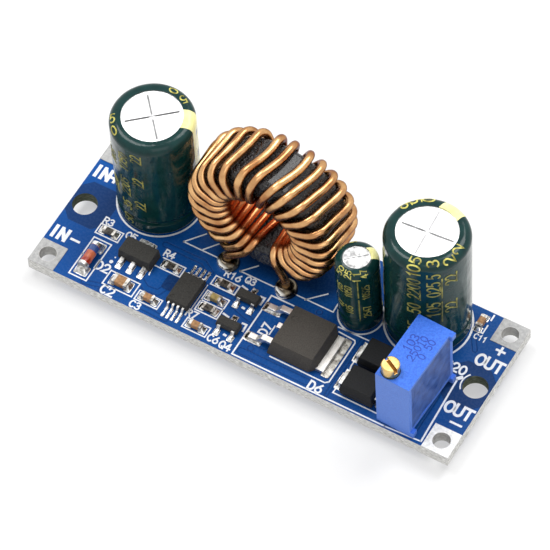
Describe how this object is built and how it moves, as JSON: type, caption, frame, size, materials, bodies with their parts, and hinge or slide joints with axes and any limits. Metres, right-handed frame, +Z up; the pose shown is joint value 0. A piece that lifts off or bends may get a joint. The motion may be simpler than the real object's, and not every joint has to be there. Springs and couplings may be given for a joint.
{
  "type": "buck-boost converter module",
  "caption": "Small blue circuit board that steps a DC voltage up or down, with upright capacitors, a wire-wound ring inductor, a trimmer screw and wire pads at its corners.",
  "frame": {"origin": "centre of the board's underside, midway between the two mounting holes", "axes": "+X along the board towards the output end, +Y towards the edge with the tall capacitors and the coil, +Z up from the underside through the component side"},
  "size_m": [0.057, 0.0212, 0.023],
  "materials": {
    "solder_mask": "satin blue solder mask",
    "tin": "bright tinned copper",
    "solder": "bright solder",
    "can_metal": "plain drawn can",
    "sleeve": "glossy dark green shrink sleeve",
    "seal_rubber": "matte",
    "core_coating": "satin black coating",
    "enamelled_copper": "glossy enamelled copper",
    "trimmer_blue": "satin blue",
    "trimmer_resin": "glossy blue potting resin",
    "brass": "turned brass",
    "mould_black": "matte moulding compound",
    "diode_glass": "orange tinted glass",
    "resistor_black": "glazed black top",
    "chip_ceramic": "satin tan"
  },
  "bodies": {
    "board": {"circuit_board": "solder_mask", "in_plus_terminal": "tin", "in_minus_terminal": "tin", "out_plus_terminal": "tin", "out_minus_terminal": "tin", "input_capacitor_can": "can_metal", "input_capacitor_sleeve": "sleeve", "input_capacitor_seal": "seal_rubber", "input_capacitor_leads": "tin", "output_capacitor_can": "can_metal", "output_capacitor_sleeve": "sleeve", "output_capacitor_seal": "seal_rubber", "output_capacitor_leads": "tin", "small_capacitor_can": "can_metal", "small_capacitor_sleeve": "sleeve", "small_capacitor_seal": "seal_rubber", "small_capacitor_leads": "tin", "inductor_core": "core_coating", "inductor_winding": "enamelled_copper", "inductor_solder": "solder", "trimmer_housing": "trimmer_blue", "trimmer_resin": "trimmer_resin", "trimmer_pins": "tin", "power_transistor_body": "mould_black", "power_transistor_frame": "tin", "front_rectifier_body": "mould_black", "front_rectifier_terminals": "tin", "rear_rectifier_body": "mould_black", "rear_rectifier_terminals": "tin", "controller_chip_body": "mould_black", "controller_chip_leads": "tin", "regulator_body": "mould_black", "regulator_leads": "tin", "front_transistor_body": "mould_black", "front_transistor_leads": "tin", "rear_transistor_body": "mould_black", "rear_transistor_leads": "tin", "glass_diode_body": "diode_glass", "glass_diode_end_caps": "tin", "chip_resistor_1": "resistor_black", "chip_resistor_2": "resistor_black", "chip_resistor_3": "resistor_black", "chip_resistor_4": "resistor_black", "chip_resistor_terminals": "tin", "chip_capacitor_1": "chip_ceramic", "chip_capacitor_2": "chip_ceramic", "chip_capacitor_3": "chip_ceramic", "chip_capacitor_4": "chip_ceramic", "chip_capacitor_5": "chip_ceramic", "chip_capacitor_terminals": "tin", "lead_solder": "solder"},
    "screw": {"trimmer_screw": "brass"}
  },
  "joints": [
    {"name": "trimmer_turn", "type": "hinge", "parent": "board", "child": "screw", "pos_m": [0.02016, -0.0082, 0.0116], "axis": [0, 0, 1], "continuous": true}
  ]
}
